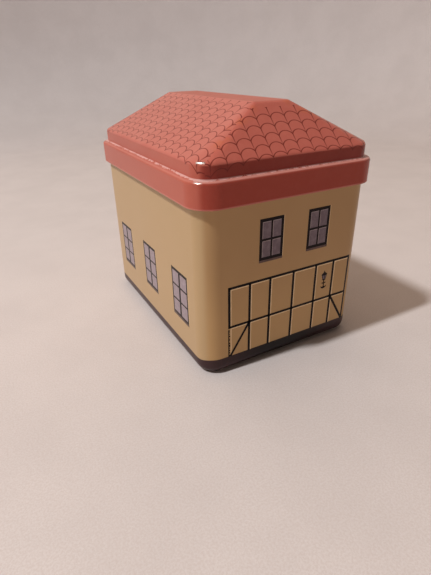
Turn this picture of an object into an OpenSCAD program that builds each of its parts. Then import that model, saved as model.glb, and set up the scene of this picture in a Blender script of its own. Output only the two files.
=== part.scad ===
// House-shaped tin money box: a slip lid, pressed as a hipped roof, on a rectangular tin body.
// The origin is the centre of the foot's ground plane. The front wall faces -Y and +Z is up.
// Profiles are drawn as (distance outward, height) and swept round the rounded rectangle of the walls.

/* [Body] */
// Width of the body across its long walls
body_w = 109; // [95:1:130]
// Length of the body from front wall to back wall
body_l = 152; // [130:1:180]
// Height of the body from the ground to the top of its rim
body_h = 111.9; // [80:0.1:140]
// Radius of the upright corners, outside
corner_r = 10.6; // [10.4:0.2:18]
// Radius of the turn from the wall to the underside
foot_r = 6; // [3:0.5:6]
// Outside diameter of the wire-like curl on the top rim
rim_curl_d = 2.3; // [2:0.1:3]

/* [Sheet and fits] */
// Thickness of the tinplate
tin_t = 0.3; // [0.25:0.01:0.35]
// Side clearance between the rim curl and the lid's hem
lid_clear = 0.3; // [0.2:0.05:0.6]
// Height of the lid's ledge above the rim it rests over
seat_gap = 0.2; // [0.1:0.05:0.5]

/* [Seams] */
// Width of the interlocked folds that join the base plate to the wall
seam_w = 3; // [2.6:0.1:3.4]
// Space between two layers of a closed fold
seam_gap = 0.05; // [0.02:0.01:0.1]
// Width of the upright lock seam inside the back wall
side_seam_w = 5; // [3:0.5:8]

/* [Base plate] */
// Distance from the wall to the centre line of the stiffening bead
bead_inset = 20; // [16:1:30]
// Outside radius of the bead's half-round section
bead_r = 1.5; // [1:0.1:2]
// Corner radius of the bead, in plan
bead_corner_r = 6; // [4:0.5:10]

/* [Lid skirt] */
// Height of the skirt from its lower edge to the ledge
skirt_h = 13.5; // [10:0.1:20]
// Height of the hem that is folded inside the skirt
hem_h = 3; // [2:0.1:5]
// Space inside the fold of the hem
hem_gap = 0.2; // [0.1:0.05:0.3]
// Radius of the skirt's upper edge
shoulder_r = 1.6; // [1:0.1:1.9]

/* [Roof] */
// Distance that the upright band under the eaves stands in from the body wall
band_inset = 0.4; // [0:0.1:2]
// Radius of the hollow between the ledge and the band
band_foot_r = 0.8; // [0.5:0.1:1.2]
// Height of the band from the ledge to the eaves
band_h = 7.8; // [5:0.1:12]
// Rise of the roof slopes from the eaves to the flat top
roof_rise = 22.7; // [14:0.1:34]
// Width of the flat top
top_w = 22; // [14:1:34]
// Length of the flat top
top_l = 108; // [90:1:118]
// Radius of the eaves
eave_r = 2.2; // [1.4:0.1:4]
// Radius of the edges of the flat top
ridge_r = 4; // [2.2:0.1:6]

/* [Coin slot] */
// Length of the slot
slot_l = 38; // [30:1:50]
// Width of the slot
slot_w = 4.6; // [4.4:0.1:5.5]
// Distance from the edge of the flat top to the middle of the slot, in plan
slot_offset = 14; // [9:0.5:26]
// Depth of the lip that is turned down round the slot
slot_lip = 1; // [0.6:0.1:1]

/* [Hidden] */
$fn = 64;
hull_fn = 48;

cream = [0.80, 0.66, 0.46];
roof_red = [0.70, 0.30, 0.25];
bare_tin = [0.72, 0.72, 0.70];

// Body: the curl hangs outside the wall and the seam folds lie inside the foot.
curl_r = rim_curl_d / 2;
curl_inset = tin_t - curl_r;
curl_z = body_h - curl_r;
curl_mouth = 0.6;
layer = tin_t + seam_gap;
fold_r = layer + tin_t / 2;
fold_outer = foot_r + 1;
fold_inner = fold_outer + seam_w;
panel_z = 3 * layer;

// Lid: the skirt stands out by the curl, the clearance and the two layers of the hem.
hem_w = 2 * tin_t + hem_gap;
skirt_out = rim_curl_d - tin_t + lid_clear + hem_w;
ledge_z = body_h + seat_gap + tin_t;
skirt_z = ledge_z - skirt_h;
hem_r = hem_w / 2;

// Roof: slopes run from the eaves to the flat top.
eave_z = ledge_z + band_h;
roof_z = eave_z + roof_rise;
side_slope = atan(roof_rise / (body_w / 2 - band_inset - top_w / 2));
end_slope = atan(roof_rise / (body_l / 2 - band_inset - top_l / 2));
eave_centre_z = eave_z - eave_r * tan((90 - side_slope) / 2);
band_r = corner_r - band_inset;
// The slopes' sheet starts inside the band's, a hair further in, so the two overlap cleanly.
eave_joint = 0.1;
eave_lap = 0.5;
corner_x = body_w / 2 - corner_r;
corner_y = body_l / 2 - corner_r;
ridge_x = top_w / 2 - ridge_r * tan(side_slope / 2);
ridge_y = top_l / 2 - ridge_r * tan(end_slope / 2);
slot_x = top_w / 2 + slot_offset;
far = 2 * (body_w + body_l);

// Sweeps a profile round a rounded rectangle. The profile's x is measured from the corner's centre.
module ring_sweep(w, l, r) {
    x = w / 2 - r;
    y = l / 2 - r;
    corners = [[x, y, 0], [-x, y, 90], [-x, -y, 180], [x, -y, 270]];
    for (c = corners)
        translate([c[0], c[1], 0])
            rotate([0, 0, c[2]])
                rotate_extrude(angle = 90)
                    children();
    sides = [[x, y, 0, 2 * y], [-x, y, 90, 2 * x], [-x, -y, 180, 2 * y], [x, -y, 270, 2 * x]];
    for (s = sides)
        translate([s[0], s[1], 0])
            rotate([0, 0, s[2]])
                rotate([90, 0, 0])
                    linear_extrude(height = s[3])
                        children();
}

// A rounded rectangle in plan, drawn with true arcs.
module rounded_rect(w, l, r) {
    square([w - 2 * r, l], center = true);
    square([w, l - 2 * r], center = true);
    for (sx = [-1, 1], sy = [-1, 1])
        translate([sx * (w / 2 - r), sy * (l / 2 - r)])
            circle(r);
}

// A flat strip of a profile, between two insets from the wall's outer face and two heights.
module strip(inset_a, inset_b, z_a, z_b) {
    translate([corner_r - inset_b, z_a])
        square([inset_b - inset_a, z_b - z_a]);
}

// Part of a bend in a profile: the sheet between two radii, kept on the sides named by the signs.
// side is 1 for outward, -1 for inward and 0 for both; rise is 1 for up, -1 for down and 0 for both.
module bend(inset, z, r, side, rise) {
    translate([corner_r - inset, z])
        intersection() {
            difference() {
                circle(r);
                circle(r - tin_t);
            }
            translate([side < 0 ? -r : (side > 0 ? 0 : -r), rise < 0 ? -r : (rise > 0 ? 0 : -r)])
                square([side == 0 ? 2 * r : r, rise == 0 ? 2 * r : r]);
        }
}

module rim_curl() {
    difference() {
        bend(curl_inset, curl_z, curl_r, 0, 0);
        // The curl stops short of the wall, low on its inner side.
        translate([corner_r, curl_z - curl_r])
            square([curl_mouth, curl_r - tin_t]);
    }
}

module wall_profile() {
    strip(0, tin_t, foot_r, curl_z);
    rim_curl();
    bend(foot_r, foot_r, foot_r, 1, -1);
    strip(foot_r, fold_inner, 0, tin_t);
    bend(fold_inner, fold_r, fold_r, -1, 0);
    strip(fold_outer, fold_inner, 2 * layer, 2 * layer + tin_t);
}

// The hooked edges of the wall's sheet lie flat against the inside of the back wall.
module side_seam() {
    seam_h = curl_z - 2 * curl_r - foot_r;
    translate([-side_seam_w / 2, body_l / 2 - 3 * tin_t, foot_r])
        cube([side_seam_w, 2.5 * tin_t, seam_h]);
}

module seam_groove() {
    translate([side_seam_w / 2, body_l / 2, foot_r])
        cylinder(r = tin_t / 2, h = curl_z - 2 * curl_r - foot_r);
}

module body_wall() {
    color(cream)
        difference() {
            union() {
                ring_sweep(body_w, body_l, corner_r)
                    wall_profile();
                side_seam();
            }
            seam_groove();
        }
}

module plate_hook() {
    strip(fold_outer, fold_inner, layer, layer + tin_t);
    bend(fold_outer, panel_z + tin_t - fold_r, fold_r, 1, 0);
    strip(fold_outer, fold_inner, panel_z, panel_z + tin_t);
}

module bead_profile() {
    translate([bead_corner_r, panel_z])
        intersection() {
            difference() {
                circle(bead_r);
                circle(bead_r - tin_t);
            }
            translate([-bead_r, 0])
                square([2 * bead_r, bead_r]);
        }
}

module base_plate() {
    bead_w = body_w - 2 * bead_inset;
    bead_l = body_l - 2 * bead_inset;
    channel = 2 * (bead_r - tin_t);
    color(bare_tin) {
        ring_sweep(body_w, body_l, corner_r)
            plate_hook();
        translate([0, 0, panel_z])
            linear_extrude(height = tin_t)
                difference() {
                    rounded_rect(body_w - 2 * fold_inner, body_l - 2 * fold_inner, corner_r - fold_inner);
                    difference() {
                        rounded_rect(bead_w + channel, bead_l + channel, bead_corner_r + channel / 2);
                        rounded_rect(bead_w - channel, bead_l - channel, bead_corner_r - channel / 2);
                    }
                }
        ring_sweep(bead_w, bead_l, bead_corner_r)
            bead_profile();
    }
}

module skirt_profile() {
    // The hem folds in and up, so the lower edge is round and smooth.
    strip(-skirt_out + tin_t + hem_gap, -skirt_out + hem_w, skirt_z + hem_r, skirt_z + hem_h);
    bend(-skirt_out + hem_r, skirt_z + hem_r, hem_r, 0, -1);
    strip(-skirt_out, -skirt_out + tin_t, skirt_z + hem_r, ledge_z - shoulder_r);
    bend(-skirt_out + shoulder_r, ledge_z - shoulder_r, shoulder_r, 1, 1);
    strip(-skirt_out + shoulder_r, band_inset - band_foot_r, ledge_z - tin_t, ledge_z);
    bend(band_inset - band_foot_r, ledge_z + band_foot_r, band_foot_r + tin_t, -1, -1);
    strip(band_inset, band_inset + tin_t, ledge_z + band_foot_r, eave_centre_z);
}

// The solid form of the slopes, with every surface moved in by depth.
module roof_form(depth) {
    hull() {
        for (sx = [-1, 1], sy = [-1, 1]) {
            translate([sx * corner_x, sy * corner_y, eave_centre_z])
                rotate_extrude($fn = hull_fn)
                    translate([band_r - eave_joint - eave_r, 0])
                        circle(eave_r - depth, $fn = hull_fn);
            translate([sx * ridge_x, sy * ridge_y, roof_z - ridge_r])
                sphere(ridge_r - depth, $fn = hull_fn);
        }
    }
}

// The outline of the coin slot, grown by a margin on every side.
module slot_outline(margin) {
    translate([slot_x, 0]) {
        square([slot_w + 2 * margin, slot_l - slot_w], center = true);
        for (end = [-1, 1])
            translate([0, end * (slot_l - slot_w) / 2])
                circle(slot_w / 2 + margin);
    }
}

module slot_prism(margin) {
    translate([0, 0, eave_z])
        linear_extrude(height = 2 * roof_rise)
            slot_outline(margin);
}

// The sheet of the slopes. The lip follows the slope at one depth all round the slot.
module roof_shell() {
    difference() {
        roof_form(0);
        difference() {
            roof_form(tin_t);
            difference() {
                slot_prism(tin_t);
                roof_form(tin_t + slot_lip);
            }
        }
        translate([-far / 2, -far / 2, eave_centre_z - eave_lap - far])
            cube(far);
    }
}

module roof_lid() {
    color(roof_red)
        difference() {
            union() {
                ring_sweep(body_w, body_l, corner_r)
                    skirt_profile();
                roof_shell();
            }
            slot_prism(0);
        }
}

body_wall();
base_plate();
roof_lid();
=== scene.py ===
"""Looks of a house-shaped tin money box: lithographed tin with a glossy lacquer, on a pale studio floor."""

import math
import random
from collections import namedtuple

import bpy
from mathutils import Matrix, Vector


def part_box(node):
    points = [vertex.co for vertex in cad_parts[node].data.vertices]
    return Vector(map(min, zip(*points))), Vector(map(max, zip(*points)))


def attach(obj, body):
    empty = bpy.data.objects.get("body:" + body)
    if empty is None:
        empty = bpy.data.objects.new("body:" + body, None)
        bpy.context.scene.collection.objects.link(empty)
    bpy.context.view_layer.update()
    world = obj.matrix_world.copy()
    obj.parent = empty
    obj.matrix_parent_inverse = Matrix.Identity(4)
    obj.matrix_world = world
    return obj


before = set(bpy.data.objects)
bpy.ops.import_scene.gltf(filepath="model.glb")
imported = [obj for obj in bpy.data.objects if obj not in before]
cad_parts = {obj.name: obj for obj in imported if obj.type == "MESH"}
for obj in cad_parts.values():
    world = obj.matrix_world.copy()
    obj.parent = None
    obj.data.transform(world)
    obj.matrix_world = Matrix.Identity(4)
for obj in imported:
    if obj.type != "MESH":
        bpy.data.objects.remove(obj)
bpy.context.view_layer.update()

# ---------------------------------------------------------------- sizes, in millimetres
MM = 0.001
SKIRT_OUT = 3.1
SKIRT_H = 13.5
BAND_H = 7.8
BAND_INSET = 0.4
CORNER_R = 10.6
TOP_W, TOP_L = 22.0, 108.0

# The rest comes from the box of the lid, whose skirt stands SKIRT_OUT past the walls on every side.
lid_low, lid_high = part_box("roof_lid")
BODY_W = round((lid_high.x - lid_low.x) / MM - 2 * SKIRT_OUT, 2)
BODY_L = round((lid_high.y - lid_low.y) / MM - 2 * SKIRT_OUT, 2)
SKIRT_Z = round(lid_low.z / MM, 1)
LEDGE_Z = SKIRT_Z + SKIRT_H
EAVE_Z = LEDGE_Z + BAND_H
ROOF_Z = lid_high.z / MM


# ---------------------------------------------------------------- node helpers
# A Mix node names its sockets alike for numbers and for colours, so they are picked by their place.
NUMBER_A, NUMBER_B, NUMBER_OUT = 2, 3, 0
COLOUR_A, COLOUR_B, COLOUR_OUT = 6, 7, 2


def linear(r, g, b):
    """An sRGB colour of 0 to 255 values as linear RGBA."""
    def channel(c):
        c /= 255
        return c / 12.92 if c <= 0.04045 else ((c + 0.055) / 1.055) ** 2.4

    return (channel(r), channel(g), channel(b), 1.0)


class Graph:
    """A material's node tree, with short calls for the nodes used here. Its point, x, y and z are the place
    on the object, in millimetres."""

    def __init__(self, name):
        self.material = bpy.data.materials.new(name)
        self.material.use_nodes = True
        self.tree = self.material.node_tree
        self.shader = self.tree.nodes["Principled BSDF"]
        scaled = self.node("ShaderNodeVectorMath", operation="SCALE")
        self.put(scaled.inputs[0], self.node("ShaderNodeTexCoord").outputs["Object"])
        scaled.inputs["Scale"].default_value = 1 / MM
        self.point = scaled.outputs[0]
        split = self.node("ShaderNodeSeparateXYZ")
        self.put(split.inputs[0], self.point)
        self.x, self.y, self.z = list(split.outputs)

    def put(self, socket, value):
        """Links or writes a value into a socket; None leaves it as it is."""
        if isinstance(value, bpy.types.NodeSocket):
            self.tree.links.new(value, socket)
        elif value is not None:
            socket.default_value = value

    def shade(self, values):
        """Puts values into the shader's sockets by their names."""
        for name, value in values.items():
            self.put(self.shader.inputs[name], value)

    def node(self, kind, **settings):
        node = self.tree.nodes.new(kind)
        for key, value in settings.items():
            setattr(node, key, value)
        return node

    def math(self, operation, a, b=None):
        node = self.node("ShaderNodeMath", operation=operation)
        for socket, value in zip(node.inputs, (a, b)):
            self.put(socket, value)
        return node.outputs[0]

    def add(self, a, b):
        return self.math("ADD", a, b)

    def sub(self, a, b):
        return self.math("SUBTRACT", a, b)

    def mul(self, a, b):
        return self.math("MULTIPLY", a, b)

    def absolute(self, a):
        return self.math("ABSOLUTE", a)

    def larger(self, a, b):
        return self.math("MAXIMUM", a, b)

    def past(self, a, limit):
        """1 where a is greater than limit."""
        return self.math("GREATER_THAN", a, limit)

    def modulo(self, a, length):
        return self.math("FLOORED_MODULO", a, length)

    def step(self, value, low, high):
        """0 below low, 1 above high and smooth between; low may be the larger for a falling step."""
        node = self.node("ShaderNodeMapRange", interpolation_type="SMOOTHSTEP")
        ends = (1.0, 0.0) if low > high else (0.0, 1.0)
        for socket, v in zip(node.inputs, (value, min(low, high), max(low, high), *ends)):
            self.put(socket, v)
        return node.outputs[0]

    def span(self, value, rise, fall):
        """1 between a rising and a falling step, each given by its two ends."""
        return self.mul(self.step(value, *rise), self.step(value, *fall))

    def near(self, distance, out, full):
        """1 within full of zero distance and 0 beyond out, on either side."""
        return self.step(self.absolute(distance), out, full)

    def mix(self, factor, a, b):
        """Colours a and b mixed by factor."""
        node = self.node("ShaderNodeMix", data_type="RGBA")
        self.put(node.inputs["Factor"], factor)
        self.put(node.inputs[COLOUR_A], a)
        self.put(node.inputs[COLOUR_B], b)
        return node.outputs[COLOUR_OUT]

    def blend(self, factor, a, b):
        """Numbers a and b mixed by factor."""
        node = self.node("ShaderNodeMix", data_type="FLOAT")
        self.put(node.inputs["Factor"], factor)
        self.put(node.inputs[NUMBER_A], a)
        self.put(node.inputs[NUMBER_B], b)
        return node.outputs[NUMBER_OUT]

    def outside(self, centre):
        """1 on the faces of a shell that look away from its centre, 0 on its inner faces."""
        away = self.node("ShaderNodeVectorMath", operation="SUBTRACT")
        self.put(away.inputs[0], self.point)
        away.inputs[1].default_value = centre
        dot = self.node("ShaderNodeVectorMath", operation="DOT_PRODUCT")
        self.put(dot.inputs[0], self.node("ShaderNodeNewGeometry").outputs["True Normal"])
        self.put(dot.inputs[1], away.outputs[0])
        return self.past(dot.outputs["Value"], 0.0)

    def noise(self, size, detail=2.0, roughness=0.5, stretch=(1, 1, 1)):
        """Noise of 0 to 1 whose features are about size millimetres across."""
        scaled = self.node("ShaderNodeVectorMath", operation="MULTIPLY")
        self.put(scaled.inputs[0], self.point)
        scaled.inputs[1].default_value = [s / size for s in stretch]
        node = self.node("ShaderNodeTexNoise")
        self.put(node.inputs["Vector"], scaled.outputs[0])
        for key, value in (("Scale", 1.0), ("Detail", detail), ("Roughness", roughness)):
            node.inputs[key].default_value = value
        return node.outputs["Fac"]

    def patches(self, low, high, size, detail=2.0, roughness=0.5):
        """Soft patches: 0 where that noise is below low and 1 where it is above high."""
        return self.step(self.noise(size, detail, roughness), low, high)

    def varied(self, noise, low, spread):
        """A number that the noise carries from low to low plus spread."""
        return self.add(self.mul(noise, spread), low)

    def bump(self, height, distance, normal=None):
        """A bump whose height of 1 stands distance millimetres proud."""
        node = self.node("ShaderNodeBump")
        node.inputs["Strength"].default_value = 1.0
        node.inputs["Distance"].default_value = distance * MM
        self.put(node.inputs["Height"], height)
        self.put(node.inputs["Normal"], normal)
        return node.outputs[0]


# ---------------------------------------------------------------- printed roof tiles
# The tiles stand in columns down the slopes. SIDE_ is for the two long slopes and END_ for the short ones.
TILE_ARC_R = 5.05
TILE_LINE = 0.21
TILE_SWELL = 0.3
# Where the ink of an arch and of a joint ends and where it is full, from its middle in widths of the line.
ARCH_INK, JOINT_INK = (1.5, 0.5), (1.9, 0.9)
JOINT_FOOT_INK, JOINT_HEAD_INK = 1.1, 0.2
SIDE_TILE_W, END_TILE_W = 8.88, 8.63
SIDE_ROW, END_ROW = 5.14, 5.45
# One joint between two columns, where it meets the edge of the flat top, and its lean down the slope.
SIDE_JOINT, END_JOINT = -59.55, 3.05
SIDE_LEAN, END_LEAN = 0.045, -0.03
# The run down the slope to the top of the print and to the first whole row, and the rows that follow it.
SIDE_PRINT_TOP, END_PRINT_TOP = 0.8, 3.8
SIDE_FIRST_ROW, END_FIRST_ROW = 3.92, 7.2
SIDE_LAST_ROW, END_LAST_ROW = 8, 4
LINE_ALLOWANCE = 0.35
# The tiles were printed on the flat sheet, and towards the corners the pressing drew their rows down.
SIDE_LEVEL, SIDE_DROOP = 33.0, 0.0034
END_MIDDLE, END_DROOP = 5.0, 0.0022


def roof_places(graph):
    """Where a point of the lid lies: side is 1 on the long slopes, on_slope is 0 on the flat top alone, run
    is the way down the sheet from the flat top, and off_hip is 0 on the hips."""
    reach_x = BODY_W / 2 - BAND_INSET - TOP_W / 2
    reach_y = BODY_L / 2 - BAND_INSET - TOP_L / 2
    along_side = graph.sub(graph.absolute(graph.x), TOP_W / 2)
    along_end = graph.sub(graph.absolute(graph.y), TOP_L / 2)
    part_side = graph.mul(along_side, 1 / reach_x)
    part_end = graph.mul(along_end, 1 / reach_y)
    side = graph.past(part_side, part_end)
    on_slope = graph.past(graph.larger(part_side, part_end), 0.0)
    fall = graph.sub(ROOF_Z, graph.z)

    def down_sheet(along, reach):
        # It holds both on the slope, where along and fall grow together, and on the upright band below it.
        rise = ROOF_Z - EAVE_Z
        share = math.hypot(reach, rise) / reach - rise / reach
        return graph.add(graph.mul(along, share), fall)

    run = graph.blend(side, down_sheet(along_end, reach_y), down_sheet(along_side, reach_x))
    off_hip = graph.absolute(graph.sub(part_side, part_end))
    return side, on_slope, run, off_hip


def row_droop(graph, side):
    """How far the pressing drew a row down at this place."""
    past_end = graph.sub(graph.x, END_MIDDLE)
    past_side = graph.larger(graph.sub(graph.absolute(graph.y), SIDE_LEVEL), 0.0)
    past = graph.blend(side, past_end, past_side)
    return graph.mul(graph.mul(past, past), graph.blend(side, END_DROOP, SIDE_DROOP))


def roof_tiles(graph, side, on_slope, run):
    """1 on the printed lines of the roof tiles: columns down the slope, each a stack of arches."""
    def either(end_value, side_value):
        return graph.blend(side, end_value, side_value)

    width = either(END_TILE_W, SIDE_TILE_W)
    row = either(END_ROW, SIDE_ROW)
    across = either(graph.sub(graph.x, END_JOINT), graph.sub(graph.y, SIDE_JOINT))
    across = graph.add(across, graph.mul(run, either(END_LEAN, SIDE_LEAN)))
    off_centre = graph.sub(graph.modulo(across, width), graph.mul(width, 0.5))
    chord = graph.math("SQRT", graph.sub(TILE_ARC_R**2, graph.mul(off_centre, off_centre)))
    drop = graph.sub(TILE_ARC_R, chord)

    # Below is the run from the first row's arch, so an arch lies wherever it is a whole number of rows.
    below = graph.sub(graph.sub(run, row_droop(graph, side)), either(END_FIRST_ROW, SIDE_FIRST_ROW))
    below = graph.sub(below, drop)
    half_row = graph.mul(row, 0.5)
    to_arch = graph.absolute(graph.sub(graph.modulo(graph.add(below, half_row), row), half_row))
    to_arch = graph.mul(to_arch, graph.mul(chord, 1 / TILE_ARC_R))
    # The arches swell towards their feet.
    swell = graph.add(graph.mul(drop, TILE_SWELL), 1.0)
    arch = graph.step(graph.math("DIVIDE", to_arch, swell), *(TILE_LINE * share for share in ARCH_INK))

    # A joint is printed dark below the foot of each arch and thins out towards the next one.
    to_joint = graph.sub(graph.mul(width, 0.5), graph.absolute(off_centre))
    thins = graph.math("DIVIDE", graph.modulo(below, row), row)
    joint = graph.step(to_joint, *(TILE_LINE * share for share in JOINT_INK))
    joint = graph.mul(joint, graph.blend(thins, JOINT_FOOT_INK, JOINT_HEAD_INK))

    # The print starts a little below the flat top and ends with the last row of arches.
    starts = graph.past(run, either(END_PRINT_TOP, SIDE_PRINT_TOP))
    last = graph.add(graph.mul(row, either(END_LAST_ROW, SIDE_LAST_ROW)), LINE_ALLOWANCE)
    printed = graph.mul(starts, graph.math("LESS_THAN", below, last))
    return graph.mul(graph.larger(arch, joint), graph.mul(on_slope, printed))


# ---------------------------------------------------------------- materials
# Painted light: the long slopes are paler, as a lit slope, and the end slopes deeper, as a shaded one.
LIT_SIDE_ROOF_RED, SHADED_END_ROOF_RED = linear(195, 112, 99), linear(195, 104, 90)
TOP_RED = linear(188, 102, 87)
# Painted shade: the rim is deeper on the front, and the band under the eaves deeper still there.
RIM_RED, SHADED_FRONT_RED = linear(184, 98, 82), linear(159, 66, 52)
SHADED_BAND_RED = linear(136, 52, 42)
# Orange for a painted sheen along the hips.
HIP_SHEEN_ORANGE = linear(204, 108, 66)
SPECKLE_RED, CLOUD_RED = linear(214, 130, 112), linear(170, 70, 58)
TILE_RED = linear(112, 36, 30)
# A paler red painted on the ledge's edge and the hem as highlight.
RIM_HIGHLIGHT_RED = linear(226, 160, 148)
# Bare tin for the spots that give the painted corner highlights.
HIGHLIGHT_TIN = linear(226, 222, 216)
DUST = linear(236, 208, 204)
# Painted light on the cream: deeper on the front as shade, and lighter low on the front as light thrown up
# from the floor.
WALL_CREAM, SHADED_FRONT_CREAM, FLOOR_LIT_CREAM = linear(188, 159, 120), linear(177, 142, 100), linear(190, 154, 107)
CLOUD_CREAM = linear(196, 164, 122)
# The foot band: black on the front as painted shade, brown elsewhere as painted light, and scuffs.
SHADED_BAND_BLACK, LIT_BAND_BROWN, BAND_SCUFF = linear(18, 8, 8), linear(64, 44, 46), linear(76, 60, 60)
TIN_GREY, TIN_PALE = linear(192, 190, 184), linear(212, 210, 203)

# Heights where a zone of the print begins and ends, each given by the two ends of its soft edge.
BAND_ZONE = ((LEDGE_Z + 0.2, LEDGE_Z + 0.8), (EAVE_Z - 0.3, EAVE_Z - 1.2))
DUST_ZONE = ((LEDGE_Z - 0.1, LEDGE_Z - 0.02), (LEDGE_Z + 0.75, LEDGE_Z + 0.45))
LEDGE_EDGE_ZONE = ((LEDGE_Z - 0.9, LEDGE_Z - 0.1), (LEDGE_Z + 0.1, LEDGE_Z + 0.02))
ROOF_BEGINS = (EAVE_Z - 1.6, EAVE_Z - 0.6)
HEM_ENDS = (SKIRT_Z + 1.1, SKIRT_Z + 0.5)
FLOOR_LIGHT_ENDS = (20, 75)
FOOT_BAND_ENDS = (0.12, -0.12)
SIDE_BAND_TOP, END_BAND_RISE = 9.4, 1.0

# The same for distances: round the corners next to the front, out from the dusty hollow and off the hips.
FRONT_TURNS = (-3.0, 3.0)
END_TURNS = (BODY_L / 2 - CORNER_R * 0.7, BODY_L / 2 - 0.6)
BAND_SHADE_ENDS = (BODY_W / 2, BODY_W / 2 - 50)
DUST_ENDS = (0.25, -0.25)
HIP_ENDS = (0.3, 0.0)

# How strongly each mark shows.
ROOF_SPECKLE, RIM_SPECKLE = 0.13, 0.03
RED_CLOUDS, CREAM_CLOUDS = 0.12, 0.1
# The painted sheen along the hips.
HIP_SHEEN = 0.45
TILE_INK = 0.9
# The painted highlights on the ledge's edge and the hem.
SIDE_RIM_HIGHLIGHT, FRONT_RIM_HIGHLIGHT, HEM_HIGHLIGHT = 0.25, 0.7, 0.32
SIDE_DUST, FRONT_DUST, DUST_COVER = 0.8, 0.6, 0.65

# Roughness at its lowest, and how much the noise adds.
LID_ROUGH, LID_ROUGH_SPREAD = 0.14, 0.08
WALL_ROUGH, WALL_ROUGH_SPREAD = 0.25, 0.1
TIN_ROUGH, TIN_ROUGH_SPREAD = 0.32, 0.16
DUST_DULLS, TOP_DULLS = 0.3, 0.25
LACQUER_SPECULAR, INK_SPECULAR = 0.2, 0.12

# Dust reaches out from the band by each noise times its reach, less DUST_SHORT.
CHIP_REACH, CRUMB_REACH, DUST_SHORT = 6.0, 3.0, 3.9
# The bare tin spots that give the painted corner highlights lie this far round each corner, counted from
# the long wall. Their sizes are given by where they end and where they are full.
CORNER_SPOT = math.radians(40)
SPOT_ROUND, SPOT_UP_EAVE, SPOT_UP_LEDGE = (2.7, 1.3), (0.5, 0.25), (0.4, 0.2)
SPOT_BELOW_LEDGE, LEDGE_SPOT = 0.5, 0.5
ROLLED = (1, 0.04, 0.04)
# Points inside the two shells, which their outer faces look away from.
LID_CENTRE, BODY_CENTRE = (0, 0, 104), (0, 0, 60)
# The heights of the waves and the grain that a grazing light shows in the sheets.
LID_WAVES, LID_GRAIN, WALL_WAVES, BASE_WAVES = 0.2, 0.003, 0.25, 0.2


def shaded_front_share(graph):
    """1 on the front wall and 0 on the others, with a soft change round the two corners between them. The
    deeper colours it gives the front are painted shade."""
    to_side = graph.sub(graph.absolute(graph.x), BODY_W / 2)
    to_front = graph.sub(graph.mul(graph.y, -1.0), BODY_L / 2)
    return graph.step(graph.sub(to_front, to_side), *FRONT_TURNS)


def bare_tin_values(graph):
    """Colour and roughness of plain rolled tinplate."""
    rolled = graph.noise(size=0.8, detail=3.0, roughness=0.6, stretch=ROLLED)
    bloom = graph.patches(0.35, 0.7, size=14, detail=3.0)
    return graph.mix(bloom, TIN_GREY, TIN_PALE), graph.varied(rolled, TIN_ROUGH, TIN_ROUGH_SPREAD)


def printed_shell(graph, centre, colour, rough, normal, highlight_tin=0.0):
    """Lacquered print outside and plain tin inside; highlight_tin is 1 on the bare tin spots that give the
    painted corner highlights.
    """
    outer = graph.outside(centre)
    tin, tin_rough = bare_tin_values(graph)
    graph.shade({
        "Base Color": graph.mix(outer, tin, colour),
        "Metallic": graph.larger(graph.sub(1.0, outer), highlight_tin),
        "Roughness": graph.blend(outer, tin_rough, rough),
        "Normal": normal,
        "Specular IOR Level": LACQUER_SPECULAR,
    })
    return graph.material


def lid_print(graph, front, side, on_slope, run, off_hip):
    """The red lacquer and printed tiles of the lid, with painted shade on the front and the end slopes and
    a painted sheen along the hips, before any wear.
    """
    # Painted light: the long slopes paler, the end slopes deeper.
    roof = graph.mix(on_slope, TOP_RED, graph.mix(side, SHADED_END_ROOF_RED, LIT_SIDE_ROOF_RED))
    # Painted sheen: orange patches along the hips.
    hip_sheen = graph.mul(graph.step(off_hip, *HIP_ENDS), graph.patches(0.45, 0.65, size=7))
    roof = graph.mix(graph.mul(hip_sheen, graph.mul(on_slope, HIP_SHEEN)), roof, HIP_SHEEN_ORANGE)
    # Painted shade: the rim deeper on the front, and the band under the eaves deeper still.
    rim = graph.mix(front, RIM_RED, SHADED_FRONT_RED)
    rim = graph.mix(graph.mul(front, graph.span(graph.z, *BAND_ZONE)), rim, SHADED_BAND_RED)
    above = graph.step(graph.z, *ROOF_BEGINS)
    colour = graph.mix(above, rim, roof)

    specks = graph.patches(0.35, 0.75, size=3.0, detail=4.0, roughness=0.6)
    specks = graph.mul(specks, graph.blend(above, RIM_SPECKLE, ROOF_SPECKLE))
    colour = graph.mix(specks, colour, SPECKLE_RED)
    clouds = graph.patches(0.35, 0.7, size=24)
    colour = graph.mix(graph.mul(clouds, RED_CLOUDS), colour, CLOUD_RED)
    tiles = roof_tiles(graph, side, on_slope, run)
    return graph.mix(graph.mul(tiles, TILE_INK), colour, TILE_RED)


def ledge_dust(graph, front):
    """How much dust and chipped lacquer lies in the hollow where the band meets the ledge."""
    off_band = graph.larger(
        graph.sub(graph.absolute(graph.x), BODY_W / 2 - BAND_INSET),
        graph.sub(graph.absolute(graph.y), BODY_L / 2 - BAND_INSET),
    )
    chips = graph.noise(size=4, detail=5.0, roughness=0.7)
    crumbs = graph.noise(size=1.1, detail=3.0, roughness=0.7)
    reach = graph.add(graph.mul(chips, CHIP_REACH), graph.mul(crumbs, CRUMB_REACH))
    past_reach = graph.sub(off_band, graph.sub(reach, DUST_SHORT))
    dusty = graph.mul(graph.span(graph.z, *DUST_ZONE), graph.step(past_reach, *DUST_ENDS))
    return graph.mul(dusty, graph.blend(front, SIDE_DUST, FRONT_DUST))


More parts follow.
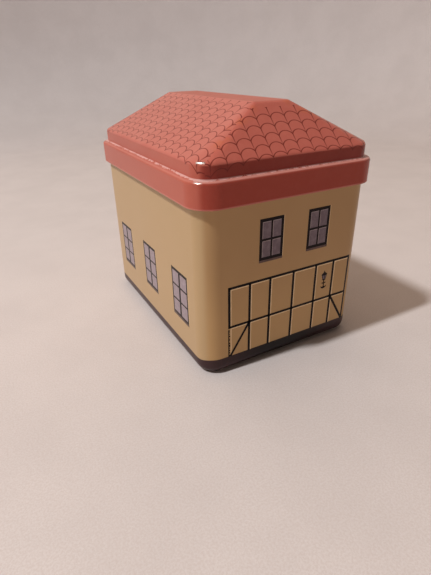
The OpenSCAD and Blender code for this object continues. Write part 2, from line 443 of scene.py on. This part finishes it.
def rim_highlights(graph, colour, front):
    """The colour, paler on the ledge's rounded edge as a painted highlight and on the hem of the skirt as a
    painted reflection of the floor.
    """
    ledge = graph.mul(graph.span(graph.z, *LEDGE_EDGE_ZONE), graph.blend(front, SIDE_RIM_HIGHLIGHT, FRONT_RIM_HIGHLIGHT))
    hem = graph.mul(graph.step(graph.z, *HEM_ENDS), HEM_HIGHLIGHT)
    return graph.mix(hem, graph.mix(ledge, colour, RIM_HIGHLIGHT_RED), RIM_HIGHLIGHT_RED)


def corner_highlight_spots(graph):
    """1 on small spots at the corners of the eaves and less on the ledge's, rubbed through to the tin:
    partly wear and partly a painted highlight, as they are placed and sized to give the corner highlights.
    """
    past_x = graph.sub(graph.absolute(graph.x), BODY_W / 2 - CORNER_R)
    past_y = graph.sub(graph.absolute(graph.y), BODY_L / 2 - CORNER_R)
    across = graph.sub(graph.mul(past_x, math.sin(CORNER_SPOT)), graph.mul(past_y, math.cos(CORNER_SPOT)))
    at_corner = graph.near(across, *SPOT_ROUND)
    at_eave = graph.near(graph.sub(graph.z, EAVE_Z), *SPOT_UP_EAVE)
    at_ledge = graph.near(graph.sub(graph.z, LEDGE_Z - SPOT_BELOW_LEDGE), *SPOT_UP_LEDGE)
    return graph.mul(at_corner, graph.larger(at_eave, graph.mul(at_ledge, LEDGE_SPOT)))


def red_tin():
    """The lid: red lacquer with printed tiles outside, plain tin inside."""
    graph = Graph("red_tin")
    front = shaded_front_share(graph)
    side, on_slope, run, off_hip = roof_places(graph)
    dusty = ledge_dust(graph, front)
    highlight_tin = corner_highlight_spots(graph)
    colour = lid_print(graph, front, side, on_slope, run, off_hip)
    # Painted highlights on the ledge's edge and the hem.
    colour = rim_highlights(graph, colour, front)
    colour = graph.mix(graph.mul(dusty, DUST_COVER), colour, DUST)
    # Painted highlight: the bare tin spots at the corners.
    colour = graph.mix(highlight_tin, colour, HIGHLIGHT_TIN)
    rough = graph.varied(graph.noise(size=18, detail=1.0), LID_ROUGH, LID_ROUGH_SPREAD)
    rough = graph.add(rough, graph.mul(dusty, DUST_DULLS))
    # The flat top is the dullest: it takes the dust and the handling.
    rough = graph.add(rough, graph.mul(graph.sub(1.0, on_slope), TOP_DULLS))
    normal = graph.bump(graph.noise(size=28, detail=1.0), LID_WAVES)
    normal = graph.bump(graph.noise(size=0.9), LID_GRAIN, normal)
    return printed_shell(graph, LID_CENTRE, colour, rough, normal, highlight_tin)


def foot_band(graph, front):
    """Where the dark foot band is printed, and its colour."""
    # It is printed a little higher on the end walls than on the long walls.
    to_end = graph.step(graph.absolute(graph.y), *END_TURNS)
    top = graph.add(graph.mul(to_end, END_BAND_RISE), SIDE_BAND_TOP)
    covers = graph.step(graph.sub(graph.z, top), *FOOT_BAND_ENDS)
    # It is black along the middle of the front as painted shade, and brown towards the corners and on the
    # other walls as painted light.
    black = graph.mul(front, graph.step(graph.absolute(graph.x), *BAND_SHADE_ENDS))
    scuffs = graph.patches(0.6, 0.85, size=1.6, detail=5.0, roughness=0.7)
    return covers, graph.mix(scuffs, graph.mix(black, LIT_BAND_BROWN, SHADED_BAND_BLACK), BAND_SCUFF)


def cream_tin():
    """The wall: cream lacquer with a dark foot band outside, plain tin inside."""
    graph = Graph("cream_tin")
    front = shaded_front_share(graph)
    # Painted shade on the front wall, lighter towards its foot as painted light from the floor.
    shaded_front_cream = graph.mix(graph.step(graph.z, *FLOOR_LIGHT_ENDS), FLOOR_LIT_CREAM, SHADED_FRONT_CREAM)
    colour = graph.mix(front, WALL_CREAM, shaded_front_cream)
    clouds = graph.patches(0.3, 0.75, size=30)
    colour = graph.mix(graph.mul(clouds, CREAM_CLOUDS), colour, CLOUD_CREAM)
    covers, band = foot_band(graph, front)
    colour = graph.mix(covers, colour, band)
    rough = graph.varied(graph.noise(size=24, detail=1.0), WALL_ROUGH, WALL_ROUGH_SPREAD)
    normal = graph.bump(graph.noise(size=34, detail=1.0), WALL_WAVES)
    return printed_shell(graph, BODY_CENTRE, colour, rough, normal)


def bare_tin():
    """The base: plain tinplate on both sides."""
    graph = Graph("bare_tin")
    colour, rough = bare_tin_values(graph)
    normal = graph.bump(graph.noise(size=30, detail=1.0), BASE_WAVES)
    graph.shade({"Base Color": colour, "Metallic": 1.0, "Roughness": rough, "Normal": normal})
    return graph.material


def ink(name, light, dark):
    """Printed ink under the wall's lacquer: two close tones in soft spots."""
    graph = Graph(name)
    spots = graph.patches(0.35, 0.7, size=2.5, detail=3.0, roughness=0.6)
    graph.shade({
        "Base Color": graph.mix(spots, dark, light),
        "Roughness": graph.varied(graph.noise(size=24, detail=1.0), WALL_ROUGH, WALL_ROUGH_SPREAD),
        "Normal": graph.bump(graph.noise(size=34, detail=1.0), WALL_WAVES),
        "Specular IOR Level": INK_SPECULAR,
    })
    return graph.material


def dress(node, material):
    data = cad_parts[node].data
    data.materials.clear()
    data.materials.append(material)


dress("roof_lid", red_tin())
dress("body_wall", cream_tin())
dress("base_plate", bare_tin())


# ---------------------------------------------------------------- printed artwork
# A patch of ink starts inside the sheet and stands a hair proud. Panes and glints lie over the frames.
INK_SUNK = 0.04
INK_DEPTH, THIN_INK_DEPTH = 0.03, 0.02
PANE_LIFT, GLINT_LIFT = 0.02, 0.03
LONGEST_STEP = 1.0


class Print:
    """Thin closed patches of ink laid on the walls. Each wall is unrolled: u runs from its middle to the
    right as seen from outside and on round the corners, and z runs up. Both are in millimetres."""

    WALLS = {"front": 0, "right": 90, "back": 180, "left": 270}

    def __init__(self, name, material, depth=INK_DEPTH):
        self.name = name
        self.material = material
        self.depth = depth
        self.vertices = []
        self.faces = []

    def place(self, wall, u, z, lift):
        """The point at u and z on a wall, lifted off it."""
        width, length = (BODY_W, BODY_L) if wall in ("front", "back") else (BODY_L, BODY_W)
        straight = width / 2 - CORNER_R
        turn = max(abs(u) - straight, 0.0) / CORNER_R
        reach = CORNER_R + lift
        x = math.copysign(min(abs(u), straight) + reach * math.sin(turn), u)
        y = -(length / 2 - CORNER_R) - reach * math.cos(turn)
        angle = math.radians(self.WALLS[wall])
        return (
            (x * math.cos(angle) - y * math.sin(angle)) * MM,
            (x * math.sin(angle) + y * math.cos(angle)) * MM,
            z * MM,
        )

    def strip(self, wall, points_low, points_high, lift=0.0):
        """A strip between two rows of (u, z) points."""
        start = len(self.vertices)
        for height in (-INK_SUNK, lift + self.depth):
            for row in (points_low, points_high):
                self.vertices += [self.place(wall, u, z, height) for u, z in row]
        n = len(points_low)
        low_in, high_in, low_out, high_out = (start + k * n for k in range(4))
        for i in range(n - 1):
            self.faces.append((low_out + i, low_out + i + 1, high_out + i + 1, high_out + i))
            self.faces.append((low_in + i + 1, low_in + i, high_in + i, high_in + i + 1))
            self.faces.append((low_in + i, low_in + i + 1, low_out + i + 1, low_out + i))
            self.faces.append((high_in + i + 1, high_in + i, high_out + i, high_out + i + 1))
        self.faces.append((low_in, low_out, high_out, high_in))
        self.faces.append((low_out + n - 1, low_in + n - 1, high_in + n - 1, high_out + n - 1))

    def bar(self, wall, u0, u1, z0, z1, lift=0.0):
        """An upright rectangle, cut fine enough to follow a corner."""
        steps = max(1, math.ceil((u1 - u0) / LONGEST_STEP))
        us = [u0 + (u1 - u0) * i / steps for i in range(steps + 1)]
        self.strip(wall, [(u, z0) for u in us], [(u, z1) for u in us], lift)

    def line(self, wall, start, end, width):
        """A sloping line of even width."""
        (u0, z0), (u1, z1) = start, end
        length = math.hypot(u1 - u0, z1 - z0)
        du, dz = (z1 - z0) / length * width / 2, -(u1 - u0) / length * width / 2
        steps = max(1, math.ceil(length / LONGEST_STEP))
        middle = [(u0 + (u1 - u0) * i / steps, z0 + (z1 - z0) * i / steps) for i in range(steps + 1)]
        self.strip(wall, [(u + du, z + dz) for u, z in middle], [(u - du, z - dz) for u, z in middle])

    def make(self):
        mesh = bpy.data.meshes.new(self.name)
        mesh.from_pydata(self.vertices, [], self.faces)
        mesh.materials.append(self.material)
        piece = bpy.data.objects.new(self.name, mesh)
        bpy.context.scene.collection.objects.link(piece)
        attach(piece, "body")


black_ink = ink("black_ink", linear(18, 11, 13), linear(12, 7, 8))
frame_ink = ink("frame_ink", linear(26, 14, 18), linear(18, 9, 12))
glass_ink = ink("glass_ink", linear(128, 114, 122), linear(114, 100, 108))
# The panes of the long walls are paler than the front's: painted light.
pale_side_glass_ink = ink("pale_side_glass_ink", linear(166, 152, 160), linear(154, 140, 147))
sill_ink = ink("sill_ink", linear(108, 88, 84), linear(96, 78, 74))
glint_ink = ink("glint_ink", linear(180, 164, 164), linear(168, 152, 154))
pale_ink = ink("pale_ink", linear(240, 212, 172), linear(230, 200, 158))

timber = Print("timber_print", black_ink)
frames = Print("window_frame_print", frame_ink)
panes = Print("window_pane_print", glass_ink)
side_panes = Print("side_window_pane_print", pale_side_glass_ink)
sills = Print("window_sill_print", sill_ink)
glints = Print("window_glint_print", glint_ink)
edges = Print("pale_edge_print", pale_ink, THIN_INK_DEPTH)
lantern = Print("lantern_print", black_ink)

# The front and back walls carry the same print, and so do the two long walls.
POSTS = (-38.7, -25.6, -12.1, 4.1, 20.7, 34.1, 46.3)
POST_W, RAIL_W = 1.55, 1.5
EDGE_W = 0.65
BEAM_Z, RAIL_Z, FOOT_Z = 54.1, 29.8, 10.2
POST_FOOT_Z = FOOT_Z - 0.4
BRACE_TOP_Z = RAIL_Z - 0.8
FIRST_BRACE = ((POSTS[0] + 0.6, FOOT_Z), (POSTS[1] - 0.4, BRACE_TOP_Z))
LAST_BRACE = ((POSTS[-2] + 0.6, BRACE_TOP_Z), (POSTS[-1] - 0.3, FOOT_Z))
# On the chipped post, ink is left in short lengths along the right side: their sizes, and where they end.
LEFT_TALL, LEFT_WIDE, LEFT_GAP = (0.8, 2.4), (0.1, 0.6), (0.3, 1.0)
CHIPS_TOP_Z, LAST_LEFT_Z = RAIL_Z - 1.4, RAIL_Z - 2
WHOLE_SIDE, LEFT_OVERLAP = -0.1, -0.2
CHIP_SEED = 7


def timber_framing(wall):
    """A beam, a rail and posts, each with a pale edge, and a brace in the first and the last panel."""
    left, right = POSTS[0], POSTS[-1]
    half_post, half_rail = POST_W / 2, RAIL_W / 2
    for z in (BEAM_Z, RAIL_Z):
        timber.bar(wall, left - half_post, right + half_post, z - half_rail, z + half_rail)
        edges.bar(wall, left + half_post, right - half_post, z - half_rail - EDGE_W, z - half_rail)
    for u in POSTS[1:]:
        timber.bar(wall, u - half_post, u + half_post, POST_FOOT_Z, BEAM_Z)
    lower_panel = (FOOT_Z, RAIL_Z - half_rail - EDGE_W)
    upper_panel = (RAIL_Z + half_rail, BEAM_Z - half_rail - EDGE_W)
    for u in POSTS[:-1]:
        for z0, z1 in (lower_panel, upper_panel):
            edges.bar(wall, u + half_post, u + half_post + EDGE_W, z0, z1)
    timber.bar(wall, left - half_post, left + half_post, RAIL_Z, BEAM_Z)
    timber.line(wall, *FIRST_BRACE, RAIL_W)
    timber.line(wall, *LAST_BRACE, RAIL_W)
    chipped_post(wall, left)


def chipped_post(wall, u):
    """The lower half of the first post: its left side is whole, and its right side is chipped."""
    rng = random.Random(CHIP_SEED)
    timber.bar(wall, u - POST_W / 2, u + WHOLE_SIDE, POST_FOOT_Z, CHIPS_TOP_Z)
    z = FOOT_Z
    while z < LAST_LEFT_Z:
        tall = rng.uniform(*LEFT_TALL)
        timber.bar(wall, u + LEFT_OVERLAP, u + rng.uniform(*LEFT_WIDE), z, min(z + tall, CHIPS_TOP_Z))
        z += tall + rng.uniform(*LEFT_GAP)


# A window print: the frame's size, the panes in it, the bars round and between them, and the sill below.
Window = namedtuple("Window", "width height columns rows head side mullion bar sill glass")
END_WINDOW = Window(15.3, 23.3, columns=2, rows=2, head=1.8, side=1.7, mullion=1.15, bar=1.3, sill=1.3,
                    glass=panes)
SIDE_WINDOW = Window(21.2, 30.3, columns=2, rows=3, head=1.7, side=1.4, mullion=2.2, bar=1.15, sill=1.4,
                     glass=side_panes)
END_WINDOWS_U, END_WINDOWS_Z = (-20.2, 11.7), 65.9
SIDE_WINDOWS_U, SIDE_WINDOWS_Z = (35.9, -10.8, -55.8), 26.0
GLINT_W = 0.3


def window(wall, u0, z0, kind):
    """A window whose lower left corner is at u0 and z0."""
    u1, z1 = u0 + kind.width, z0 + kind.height
    frames.bar(wall, u0, u1, z0, z1)
    sills.bar(wall, u0, u1, z0 - kind.sill, z0)
    edges.bar(wall, u1, u1 + EDGE_W / 2, z0, z1)
    pane_w = (kind.width - 2 * kind.side - (kind.columns - 1) * kind.mullion) / kind.columns
    pane_h = (kind.height - kind.head - kind.side - (kind.rows - 1) * kind.bar) / kind.rows
    for i in range(kind.columns):
        for j in range(kind.rows):
            u = u0 + kind.side + i * (pane_w + kind.mullion)
            z = z0 + kind.side + j * (pane_h + kind.bar)
            kind.glass.bar(wall, u, u + pane_w, z, z + pane_h, PANE_LIFT)
            glints.bar(wall, u, u + GLINT_W, z, z + pane_h, GLINT_LIFT)
            glints.bar(wall, u, u + pane_w, z + pane_h - GLINT_W, z + pane_h, GLINT_LIFT)


# The hanging lantern between two posts is drawn round u of 0 and widened to its real width.
LANTERN_U, LANTERN_WIDEN = 27.8, 1.25


def wall_lantern(wall):
    """A small lantern: cap, glazed body, stem, scroll and anchor-shaped foot."""
    def shape(sheet, low, high, lift=0.0):
        rows = [[(LANTERN_U + LANTERN_WIDEN * u, z) for u, z in row] for row in (low, high)]
        sheet.strip(wall, *rows, lift)

    shape(lantern, [(-1.8, 46.0), (-0.8, 46.0), (0, 46.0), (0.8, 46.0), (1.8, 46.0)],
          [(-1.6, 46.5), (-0.5, 47.5), (0, 48.8), (0.5, 47.5), (1.6, 46.5)])
    shape(lantern, [(-0.9, 42.5), (0, 42.1), (0.9, 42.5)], [(-1.6, 46.0), (0, 46.0), (1.6, 46.0)])
    shape(panes, [(-0.7, 43.1), (-0.1, 43.0)], [(-1.1, 45.5), (-0.1, 45.5)], PANE_LIFT)
    shape(panes, [(0.3, 43.0), (0.7, 43.1)], [(0.3, 45.5), (1.0, 45.5)], PANE_LIFT)
    shape(lantern, [(-0.3, 38.2), (0.3, 38.2)], [(-0.3, 42.2), (0.3, 42.2)])
    shape(lantern, [(-1.2, 40.3), (-0.6, 40.1), (0, 40.0), (0.6, 40.1), (1.2, 40.3)],
          [(-1.2, 41.0), (-0.6, 40.8), (0, 41.0), (0.6, 40.8), (1.2, 41.0)])
    shape(lantern, [(-1.7, 37.9), (-1.1, 37.1), (0, 36.6), (1.1, 37.1), (1.8, 37.9)],
          [(-1.7, 38.5), (-0.9, 38.0), (0, 38.3), (0.9, 38.0), (1.8, 38.5)])


for end_wall in ("front", "back"):
    timber_framing(end_wall)
    wall_lantern(end_wall)
    for corner_u in END_WINDOWS_U:
        window(end_wall, corner_u, END_WINDOWS_Z, END_WINDOW)
for long_wall in ("left", "right"):
    for corner_u in SIDE_WINDOWS_U:
        window(long_wall, corner_u, SIDE_WINDOWS_Z, SIDE_WINDOW)

for sheet in (timber, frames, panes, side_panes, sills, glints, edges, lantern):
    sheet.make()


# ---------------------------------------------------------------- stage, in metres
FLOOR_R, SWEEP_R, BACKDROP_TOP = 0.75, 0.26, 0.30
FLOOR_SIDES, SWEEP_STEP = 96, 10
FLOOR_GREY, FLOOR_PALE, FLOOR_GRAIN = linear(213, 206, 205), linear(219, 212, 211), linear(194, 180, 174)
FLOOR_ROUGH, GRAIN_SHARE, PLASTER_MM = 0.7, 0.35, 0.12


def floor_paint():
    graph = Graph("studio_floor")
    clouds = graph.patches(0.3, 0.7, size=60, detail=4.0, roughness=0.6)
    grain = graph.patches(0.35, 0.65, size=0.9, roughness=0.7)
    colour = graph.mix(clouds, FLOOR_GREY, FLOOR_PALE)
    colour = graph.mix(graph.mul(grain, GRAIN_SHARE), colour, FLOOR_GRAIN)
    normal = graph.bump(graph.noise(size=2.5, detail=3.0, roughness=0.6), PLASTER_MM)
    graph.shade({"Base Color": colour, "Roughness": FLOOR_ROUGH, "Normal": normal})
    return graph.material


def studio_floor():
    """A round floor that sweeps up into a low backdrop well away from the object on every side."""
    outline = [(FLOOR_R, 0.0)]
    for degrees in range(SWEEP_STEP, 91, SWEEP_STEP):
        a = math.radians(degrees)
        outline.append((FLOOR_R + SWEEP_R * math.sin(a), SWEEP_R * (1 - math.cos(a))))
    outline.append((FLOOR_R + SWEEP_R, BACKDROP_TOP))
    vertices, faces = [(0.0, 0.0, 0.0)], []
    for r, z in outline:
        for i in range(FLOOR_SIDES):
            a = 2 * math.pi * i / FLOOR_SIDES
            vertices.append((r * math.cos(a), r * math.sin(a), z))
    for i in range(FLOOR_SIDES):
        j = (i + 1) % FLOOR_SIDES
        faces.append((0, 1 + i, 1 + j))
        for k in range(len(outline) - 1):
            inner = 1 + k * FLOOR_SIDES
            outer = inner + FLOOR_SIDES
            faces.append((inner + i, outer + i, outer + j, inner + j))
    mesh = bpy.data.meshes.new("studio_floor")
    mesh.from_pydata(vertices, [], faces)
    mesh.polygons.foreach_set("use_smooth", [True] * len(mesh.polygons))
    mesh.materials.append(floor_paint())
    floor = bpy.data.objects.new("studio_floor", mesh)
    bpy.context.scene.collection.objects.link(floor)


studio_floor()

# ---------------------------------------------------------------- light
KEY_PLACE, KEY_AIM = (-1.289, -0.017, 1.921), (0, 0, 0.06)
KEY_WIDTH, KEY_HEIGHT, KEY_WATTS = 0.10, 0.24, 36.0
# The room is pale in this direction and dim away from it. It changes softly between these two cosines.
ROOM_LIGHT_FROM = (-0.1, 0.87, 0.48)
ROOM_TURNS = (-0.05, 1.0)
ROOM_DIM = (0.03, 0.022, 0.016, 1.0)
ROOM_PALE = (0.95, 0.72, 0.55, 1.0)
BACKGROUND = linear(192, 174, 162)


def key_light():
    """One lamp high on the left, which throws the shadow to the right."""
    light = bpy.data.lights.new("key", "AREA")
    light.shape = "ELLIPSE"
    light.size = KEY_WIDTH
    light.size_y = KEY_HEIGHT
    light.energy = KEY_WATTS
    lamp = bpy.data.objects.new("key", light)
    lamp.location = KEY_PLACE
    lamp.rotation_mode = "QUATERNION"
    lamp.rotation_quaternion = (Vector(KEY_AIM) - Vector(KEY_PLACE)).to_track_quat("-Z", "Y")
    lamp.visible_camera = False
    bpy.context.scene.collection.objects.link(lamp)


def studio_world():
    """A warm room: pale behind the object and above it, dim in front. It shows as one plain colour."""
    world = bpy.data.worlds.new("studio")
    world.use_nodes = True
    tree = world.node_tree
    coords = tree.nodes.new("ShaderNodeTexCoord")
    toward = tree.nodes.new("ShaderNodeVectorMath")
    toward.operation = "DOT_PRODUCT"
    toward.inputs[1].default_value = ROOM_LIGHT_FROM
    spread = tree.nodes.new("ShaderNodeMapRange")
    spread.interpolation_type = "SMOOTHSTEP"
    for socket, value in zip(spread.inputs[1:5], (*ROOM_TURNS, 0.0, 1.0)):
        socket.default_value = value
    room = tree.nodes.new("ShaderNodeMix")
    room.data_type = "RGBA"
    room.inputs[COLOUR_A].default_value = ROOM_DIM
    room.inputs[COLOUR_B].default_value = ROOM_PALE
    seen = tree.nodes.new("ShaderNodeMix")
    seen.data_type = "RGBA"
    seen.inputs[COLOUR_B].default_value = BACKGROUND
    tree.links.new(coords.outputs["Generated"], toward.inputs[0])
    tree.links.new(toward.outputs["Value"], spread.inputs[0])
    tree.links.new(spread.outputs[0], room.inputs["Factor"])
    tree.links.new(room.outputs[COLOUR_OUT], seen.inputs[COLOUR_A])
    tree.links.new(plain_rays(tree), seen.inputs["Factor"])
    tree.links.new(seen.outputs[COLOUR_OUT], tree.nodes["Background"].inputs["Color"])
    bpy.context.scene.world = world


def plain_rays(tree):
    """1 for the rays that show the background: from the camera, in a gloss and through glass."""
    sight = tree.nodes.new("ShaderNodeLightPath")
    plain = sight.outputs["Is Camera Ray"]
    for ray in ("Is Glossy Ray", "Is Transmission Ray"):
        either = tree.nodes.new("ShaderNodeMath")
        either.operation = "MAXIMUM"
        tree.links.new(plain, either.inputs[0])
        tree.links.new(sight.outputs[ray], either.inputs[1])
        plain = either.outputs[0]
    return plain


key_light()
studio_world()

# ---------------------------------------------------------------- camera
CAMERA_PLACE = (-0.1406, -0.2498, 0.1608)
CAMERA_YAW, CAMERA_PITCH, CAMERA_ROLL = 0.4943, 0.4828, -0.0206
FOCAL_PX, LONG_SIDE_PX, SENSOR_MM = 430.4, 575, 36.0


def photo_camera():
    """The photograph's view: a wide phone lens, a little above the object and off its left front corner."""
    yaw, pitch, roll = CAMERA_YAW, CAMERA_PITCH, CAMERA_ROLL
    ahead = Vector((math.sin(yaw) * math.cos(pitch), math.cos(yaw) * math.cos(pitch), -math.sin(pitch)))
    level = Vector((math.cos(yaw), -math.sin(yaw), 0))
    upward = level.cross(ahead)
    right = level * math.cos(roll) + upward * math.sin(roll)
    up = upward * math.cos(roll) - level * math.sin(roll)
    data = bpy.data.cameras.new("photo_camera")
    data.sensor_width = SENSOR_MM
    data.lens = FOCAL_PX / LONG_SIDE_PX * SENSOR_MM
    data.clip_start = 0.01
    camera = bpy.data.objects.new("photo_camera", data)
    turned = Matrix((right, up, -ahead)).transposed().to_4x4()
    camera.matrix_world = Matrix.Translation(CAMERA_PLACE) @ turned
    bpy.context.scene.collection.objects.link(camera)
    bpy.context.scene.camera = camera


photo_camera()
bpy.context.scene.view_settings.view_transform = "Standard"
